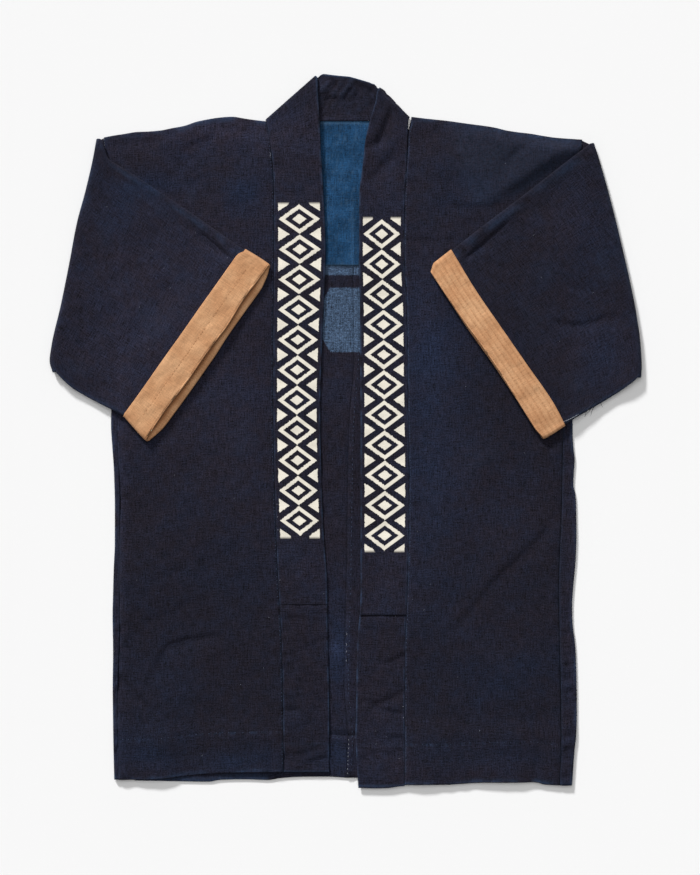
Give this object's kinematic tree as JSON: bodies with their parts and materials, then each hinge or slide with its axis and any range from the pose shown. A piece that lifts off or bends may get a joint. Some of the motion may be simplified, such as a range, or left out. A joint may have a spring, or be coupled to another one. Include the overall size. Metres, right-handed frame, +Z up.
{
  "type": "happi coat",
  "caption": "Happi coat laid flat, front up: indigo cotton with a long neckband open down the middle, straight sleeves folded in over the fronts and tan bands at their openings.",
  "frame": {"origin": "on the surface that the coat lies on, under the middle of its outline", "axes": "+Y towards the collar, +X to the right as seen from above, +Z up, out of the fronts"},
  "size_m": [0.7904, 0.9523, 0.0161],
  "materials": {
    "indigo_cotton": "matt plain-weave cotton, faded at folds and seams",
    "band_cotton": "matt plain-weave cotton, several layers",
    "tan_cotton": "matt plain-weave cotton, stitched lengthwise",
    "blue_lining": "matt plain-weave cotton"
  },
  "bodies": {
    "root": {"body_left": "indigo_cotton", "body_right": "indigo_cotton", "gusset_left": "indigo_cotton", "gusset_right": "indigo_cotton", "sleeve_left": "indigo_cotton", "sleeve_right": "indigo_cotton", "cuff_left": "tan_cotton", "cuff_right": "tan_cotton", "collar": "band_cotton", "collar_left_lower": "band_cotton", "collar_right_lower": "band_cotton", "shoulder_lining": "blue_lining"}
  },
  "joints": []
}
